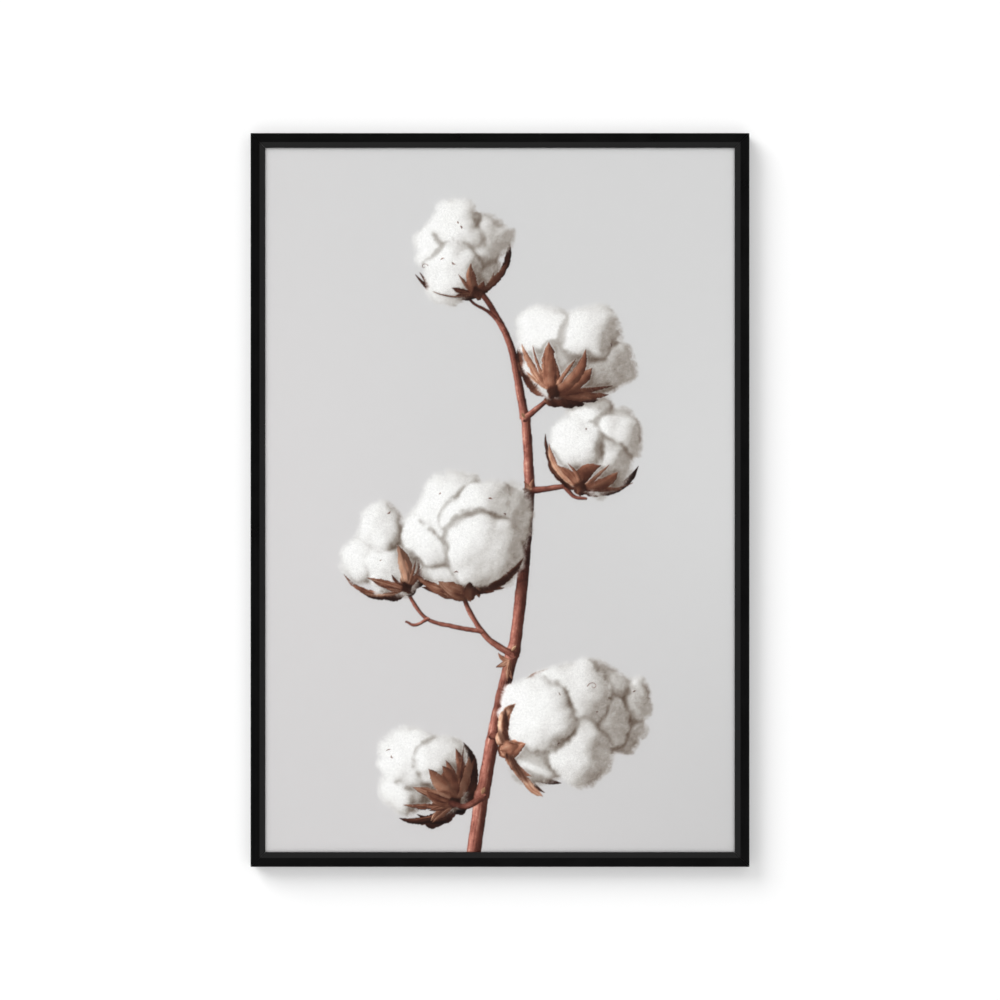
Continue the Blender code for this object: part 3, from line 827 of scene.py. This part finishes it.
def printed_paper():
    """Matt photo paper with the painted picture in its colours, and the finest wool where there is cotton."""
    shader = Shader("printed_paper_look", roughness=0.55, specular=0.25)
    picture = shader.add("ShaderNodeVertexColor", layer_name="picture")
    where = shader.place()
    tooth = shader.noise(where, 1500.0, detail=2.0)
    wool = shader.spread(shader.noise(where, 430.0, detail=3.0, distortion=0.8), 0.2, 0.8, 0.83, 1.11)
    woolly = shader.blend(picture.outputs["Alpha"], (1.0, 1.0, 1.0), wool)
    shade = shader.blend(1.0, shader.spread(tooth, 0.3, 0.7, 0.988, 1.0), woolly, "MULTIPLY")
    shader.feed("Base Color", shader.blend(1.0, picture.outputs["Color"], shade, "MULTIPLY"))
    shader.bump(tooth, 0.15, 0.02 * MM)
    return shader.material


# ---------- the printed sheet

PAPER_BACK = (0.72, 0.72, 0.72)
PRINT_BRIGHTNESS = 0.875  # of the painted picture's linear light, to suit the lamps
ROOT_CELLS = (24, 36)  # the sheet's largest cells, across and up
LEVELS = 5  # how often a cell may be quartered
LOOSE, TIGHT = 0.010, 0.030  # the error in a colour that a cell may have: largest cells, smallest cells
BACK = 4  # the sheet's back as a side, after its edges 0..3


def linear(srgb):
    """0..255 display colours as linear light."""
    share = np.clip(np.asarray(srgb) / 255, 0, 1)
    return np.where(share <= 0.04045, share / 12.92, ((share + 0.055) / 1.055) ** 2.4)


def sample(image, x, z):
    """The painted picture at places in mm from its middle, between its samples."""
    u = np.clip(x / SAMPLE + (image.shape[1] - 1) / 2, 0, image.shape[1] - 1.001)
    v = np.clip(z / SAMPLE + (image.shape[0] - 1) / 2, 0, image.shape[0] - 1.001)
    i, j = v.astype(int), u.astype(int)
    s, t = (v - i)[..., None], (u - j)[..., None]
    lower = image[i, j] * (1 - t) + image[i, j + 1] * t
    upper = image[i + 1, j] * (1 - t) + image[i + 1, j + 1] * t
    return lower * (1 - s) + upper * s


def cell_splits(image, width, height):
    """For each level, which cells are quartered: the busy ones, with neighbours at most a level apart."""
    # Where a cell's colours are tested, in half cells from its middle
    tested = ((0, 0), (-0.5, -0.5), (0.5, -0.5), (-0.5, 0.5), (0.5, 0.5), (1, 0), (0, 1), (-1, 0), (0, -1))
    wanted = []
    for level in range(LEVELS):
        nx, nz = (count * 2**level for count in ROOT_CELLS)
        x = (np.arange(nx) + 0.5) * width / nx - width / 2
        z = (np.arange(nz) + 0.5) * height / nz - height / 2
        half_x, half_z = width / nx / 2, height / nz / 2
        gx, gz = np.meshgrid(x, z)
        corners = [sample(image, gx + a * half_x, gz + b * half_z) for a in (-1, 1) for b in (-1, 1)]
        low_left, high_left, low_right, high_right = corners
        error = np.zeros(gx.shape)
        for a, b in tested:
            s, t = (1 + a) / 2, (1 + b) / 2
            flat = (low_left * (1 - s) + low_right * s) * (1 - t) + (high_left * (1 - s) + high_right * s) * t
            wrong = np.abs(flat - sample(image, gx + a * half_x, gz + b * half_z))
            error = np.maximum(error, wrong[..., :3].max(axis=-1))
        wanted.append(error > LOOSE + (TIGHT - LOOSE) * level / (LEVELS - 1))
    for level in range(LEVELS - 1, 0, -1):
        busy = np.pad(wanted[level], 1)
        rows, cols = wanted[level].shape
        near = sum(busy[a : a + rows, b : b + cols] for a in range(3) for b in range(3))
        parents = near.reshape(near.shape[0] // 2, 2, near.shape[1] // 2, 2).sum(axis=(1, 3)) > 0
        wanted[level - 1] |= parents
    return wanted


def picture_cells(splits):
    """Faces over the sheet's finest lattice, a corner list each, larger where the picture is plain."""
    finest = 2**LEVELS
    lattice = np.zeros((ROOT_CELLS[1] * finest + 1, ROOT_CELLS[0] * finest + 1), bool)
    there = np.ones((ROOT_CELLS[1], ROOT_CELLS[0]), bool)
    leaves = []
    for level in range(LEVELS + 1):
        split = splits[level] if level < LEVELS else np.zeros(there.shape, bool)
        rows, cols = np.nonzero(there & ~split)
        size = 2 ** (LEVELS - level)
        leaves.append((rows * size, cols * size, size))
        for a in (0, size):
            for b in (0, size):
                lattice[rows * size + a, cols * size + b] = True
        there = np.repeat(np.repeat(there & split, 2, axis=0), 2, axis=1)
    number = np.full(lattice.shape, -1)
    number[lattice] = np.arange(lattice.sum())
    # Once round a cell, in half cells
    rounds = ((0, 0), (0, 1), (0, 2), (1, 2), (2, 2), (2, 1), (2, 0), (1, 0))
    corners, counts = [], []
    for rows, cols, size in leaves:
        steps = [(a * size // 2, b * size // 2) for a, b in rounds if size > 1 or (a != 1 and b != 1)]
        ids = np.stack([number[rows + a, cols + b] for a, b in steps], axis=1)
        corners.append(ids[ids >= 0])
        counts.append((ids >= 0).sum(axis=1))
    return lattice, np.concatenate(corners), np.concatenate(counts)


def lay_out(mesh, sides, places):
    """The sheet's map for baking: its front over nine tenths, then its back and four edges in a strip.

    sides holds each face corner's side: 0..3 for an edge of the sheet, BACK, or less for its front."""
    margin, front_wide, front_high = 0.004, 0.90, 0.992
    strip_left, strip_wide = 0.92, 0.07
    edge_step, edge_high = 0.04, 0.02
    back_low, back_high = 0.30, 0.30
    low, high = places.min(axis=0), places.max(axis=0)
    x, y, z = ((places - low) / (high - low)).T
    u, v = margin + front_wide * x, margin + front_high * z
    for side, along in enumerate((x, z, x, z)):
        edge = sides == side
        u[edge] = strip_left + strip_wide * along[edge]
        v[edge] = edge_step * (side + 1) + edge_high * y[edge]
    back = sides == BACK
    u[back] = strip_left + strip_wide * x[back]
    v[back] = back_low + back_high * z[back]
    layer = mesh.uv_layers.new(name="OFBake")
    layer.data.foreach_set("uv", np.column_stack((u, v)).astype(np.float32).ravel())


def mesh_of(name, points, corners, counts):
    """A mesh from its points and its faces' corners, counts of them for each face."""
    mesh = bpy.data.meshes.new(name)
    mesh.vertices.add(len(points))
    mesh.vertices.foreach_set("co", points.astype(np.float32).ravel())
    mesh.loops.add(len(corners))
    mesh.loops.foreach_set("vertex_index", corners.astype(np.int32))
    mesh.polygons.add(len(counts))
    starts = np.concatenate(([0], np.cumsum(counts)[:-1]))
    mesh.polygons.foreach_set("loop_start", starts.astype(np.int32))
    mesh.polygons.foreach_set("loop_total", counts.astype(np.int32))
    mesh.update(calc_edges=True)
    mesh.validate()
    mesh.shade_flat()
    return mesh


def make_print():
    """The printed sheet: a closed thin sheet whose front has faces as fine as its picture needs."""
    low, high = (Vector(corner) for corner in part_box("print_sheet"))
    width, height = (high.x - low.x) / MM, (high.z - low.z) / MM
    colours, cotton = paint_picture(width, height)
    image = np.dstack((linear(colours) * PRINT_BRIGHTNESS, cotton))
    lattice, corners, counts = picture_cells(cell_splits(image, width, height))
    rows, cols = np.nonzero(lattice)
    x = cols / (lattice.shape[1] - 1) * width - width / 2
    z = rows / (lattice.shape[0] - 1) * height - height / 2
    front = len(x)
    middle_x, middle_z = (low.x + high.x) / 2, (low.z + high.z) / 2
    points = np.column_stack((middle_x + x * MM, np.full(front, low.y), middle_z + z * MM))
    back = [(x, high.y, z) for x, z in ((low.x, low.z), (high.x, low.z), (high.x, high.z), (low.x, high.z))]
    points = np.vstack((points, back))
    order = np.arange(front)
    bottom, right = order[rows == 0], order[cols == cols.max()]
    top, left = order[rows == rows.max()], order[cols == 0]
    edges = [bottom, right, top[::-1], left[::-1]]
    sides = [np.append(edge[::-1], (front + k, front + (k + 1) % 4)) for k, edge in enumerate(edges)]
    corners = np.concatenate((corners, *sides, np.arange(front + 3, front - 1, -1)))
    face_side = np.arange(-len(counts), BACK + 1)
    counts = np.concatenate((counts, [len(side) for side in sides], [len(back)]))
    mesh = mesh_of("print", points, corners, counts)
    colours = np.vstack((sample(image, x, z), [(*PAPER_BACK, 0.0)] * len(back)))
    layer = mesh.color_attributes.new("picture", "FLOAT_COLOR", "POINT")
    layer.data.foreach_set("color", colours.astype(np.float32).ravel())
    lay_out(mesh, np.repeat(face_side, counts), points[corners])
    sheet = add_object("print", mesh)
    mesh.materials.append(printed_paper())
    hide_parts("print_sheet")
    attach(sheet, "root")


# ---------- room, lights and camera

WALL_WHITE, WALL_GLOW = 0.68, 0.21  # the wall's own grey, and the light it adds
BACKDROP = (0.80, 0.80, 0.80, 1.0)  # behind the wall and the floor
FLOOR_DROP = 1.5  # the floor below the frame's middle
ROOM_REACH = 6.0  # to each side and up
FLOOR_PALE = (0.66, 0.66, 0.65)
# Greys that the object reflects, from straight in front of the frame at 0 to behind it at 1
STUDIO_RING = ((0.0, 0.012), (0.02, 0.022), (0.085, 0.74), (0.25, 0.66), (0.40, 0.30), (0.70, 0.50))


def plain(name, colour):
    shader = Shader(name, roughness=0.9, specular=0.1)
    set_sockets(shader.surface, {"Base Color": (*colour, 1.0)})
    return shader


def stage_plane(name, corners, shader):
    """A plain part of the room that only the camera sees, so that it throws nothing on the object."""
    mesh = bpy.data.meshes.new(name)
    mesh.from_pydata(corners, [], [(0, 1, 2, 3)])
    mesh.materials.append(shader.material)
    plane = add_object(name, mesh)
    plane.visible_diffuse = plane.visible_glossy = plane.visible_transmission = plane.visible_shadow = False
    return plane


def make_wall():
    """A white wall that shows from the front only, so that the object's back can be looked at too."""
    shader = plain("wall_white", (WALL_WHITE,) * 3)
    set_sockets(shader.surface, {"Emission Color": (1.0, 1.0, 1.0, 1.0), "Emission Strength": WALL_GLOW})
    facing = shader.add("ShaderNodeNewGeometry")
    clear = shader.add("ShaderNodeBsdfTransparent")
    shader.show_mixed(facing.outputs["Backfacing"], shader.surface.outputs["BSDF"], clear.outputs["BSDF"])
    y, x = WALL_Y + 0.2 * MM, ROOM_REACH
    low_z, high_z = MIDDLE.z - FLOOR_DROP, MIDDLE.z + ROOM_REACH
    return stage_plane("wall", ((-x, y, low_z), (x, y, low_z), (x, y, high_z), (-x, y, high_z)), shader)


def make_floor():
    x, z = ROOM_REACH, MIDDLE.z - FLOOR_DROP
    corners = ((-x, -x, z), (x, -x, z), (x, x, z), (-x, x, z))
    stage_plane("floor", corners, plain("floor_pale", FLOOR_PALE))


def soft_sun(name, left, up, spread, share, receivers=None):
    """Even soft light from so many degrees left of the front and up, whose lamp looks `spread` degrees wide.

    share is the part of full white that it gives an upright surface, of the receivers only if there are any.
    Highlights come from the studio's ring instead."""
    left, up = math.radians(left), math.radians(up)
    toward_lamp = Vector((-math.sin(left) * math.cos(up), -math.cos(left) * math.cos(up), math.sin(up)))
    lamp = bpy.data.lights.new(name, "SUN")
    lamp.angle = math.radians(spread)
    lamp.energy = share * math.pi / abs(toward_lamp.y)
    holder = add_object(name, lamp)
    holder.rotation_euler = toward_lamp.to_track_quat("Z", "Y").to_euler()
    holder.visible_glossy = False
    holder.light_linking.receiver_collection = receivers


def light_group(name, thing, state):
    """What a lamp lights: only the thing, or everything but it."""
    group = bpy.data.collections.new(name)
    group.objects.link(thing)
    group.collection_objects[0].light_linking.link_state = state
    return group


def make_world():
    """The surroundings: a studio with a bright ring for the object, a plain backdrop for the camera."""
    world = bpy.data.worlds.new("studio")
    world.use_nodes = True
    nodes, links = world.node_tree.nodes, world.node_tree.links
    coordinates = nodes.new("ShaderNodeTexCoord")
    parts = nodes.new("ShaderNodeSeparateXYZ")
    share = nodes.new("ShaderNodeMapRange")
    set_sockets(share, {"From Min": -1.0})
    ring = nodes.new("ShaderNodeValToRGB")
    fill_ramp(ring, [(place, (grey,) * 3) for place, grey in STUDIO_RING])
    links.new(coordinates.outputs["Generated"], parts.inputs["Vector"])
    links.new(parts.outputs["Y"], share.inputs["Value"])
    links.new(share.outputs["Result"], ring.inputs["Fac"])
    seen = nodes.new("ShaderNodeMix")
    seen.data_type = "RGBA"
    seen.inputs[MIX_SECOND].default_value = BACKDROP
    links.new(nodes.new("ShaderNodeLightPath").outputs["Is Camera Ray"], seen.inputs[MIX_SHARE])
    links.new(ring.outputs["Color"], seen.inputs[MIX_FIRST])
    links.new(seen.outputs[MIX_RESULT], nodes["Background"].inputs["Color"])
    bpy.context.scene.world = world


def make_room():
    """The wall has a light at the upper left, for its shadow, and the object an even one from the front."""
    make_world()
    wall = make_wall()
    make_floor()
    wall_only = light_group("wall_only", wall, "INCLUDE")
    soft_sun("wall_key", 57, 40, spread=44, share=0.42, receivers=wall_only)
    soft_sun("wall_fill", 0, 0, spread=90, share=0.31, receivers=wall_only)
    soft_sun("front", 0, 4, spread=60, share=0.72, receivers=light_group("not_wall", wall, "EXCLUDE"))
    soft_sun("back_fill", 150, 35, spread=50, share=0.80)


def make_camera():
    camera = bpy.data.cameras.new("camera")
    camera.lens = LENS_MM
    camera.sensor_width = SENSOR_MM
    holder = add_object("camera", camera)
    holder.location = (MIDDLE.x, LOW.y - VIEW_ACROSS * LENS_MM / SENSOR_MM, MIDDLE.z)
    holder.rotation_euler = (math.pi / 2, 0, 0)
    bpy.context.scene.camera = holder
    bpy.context.scene.view_settings.view_transform = "Standard"


def dress_cad_nodes():
    dress(black_paint("black_paint_rails", "X"), "rail_")
    dress(black_paint("black_paint_stiles", "Z"), "stile_")
    dress(clear_acrylic(), "glazing")
    dress(hardboard(), "backing_board")
    dress(plated_steel("zinc_look", (0.62, 0.62, 0.63), (0.38, 0.38, 0.40)), "tab_", "vnail_")
    dress(plated_steel("brassed_look", (0.76, 0.58, 0.26), (0.50, 0.36, 0.15)), "hanger_")
    dress(rubber(), "bumper_")


make_camera()
make_room()
dress_cad_nodes()
make_print()
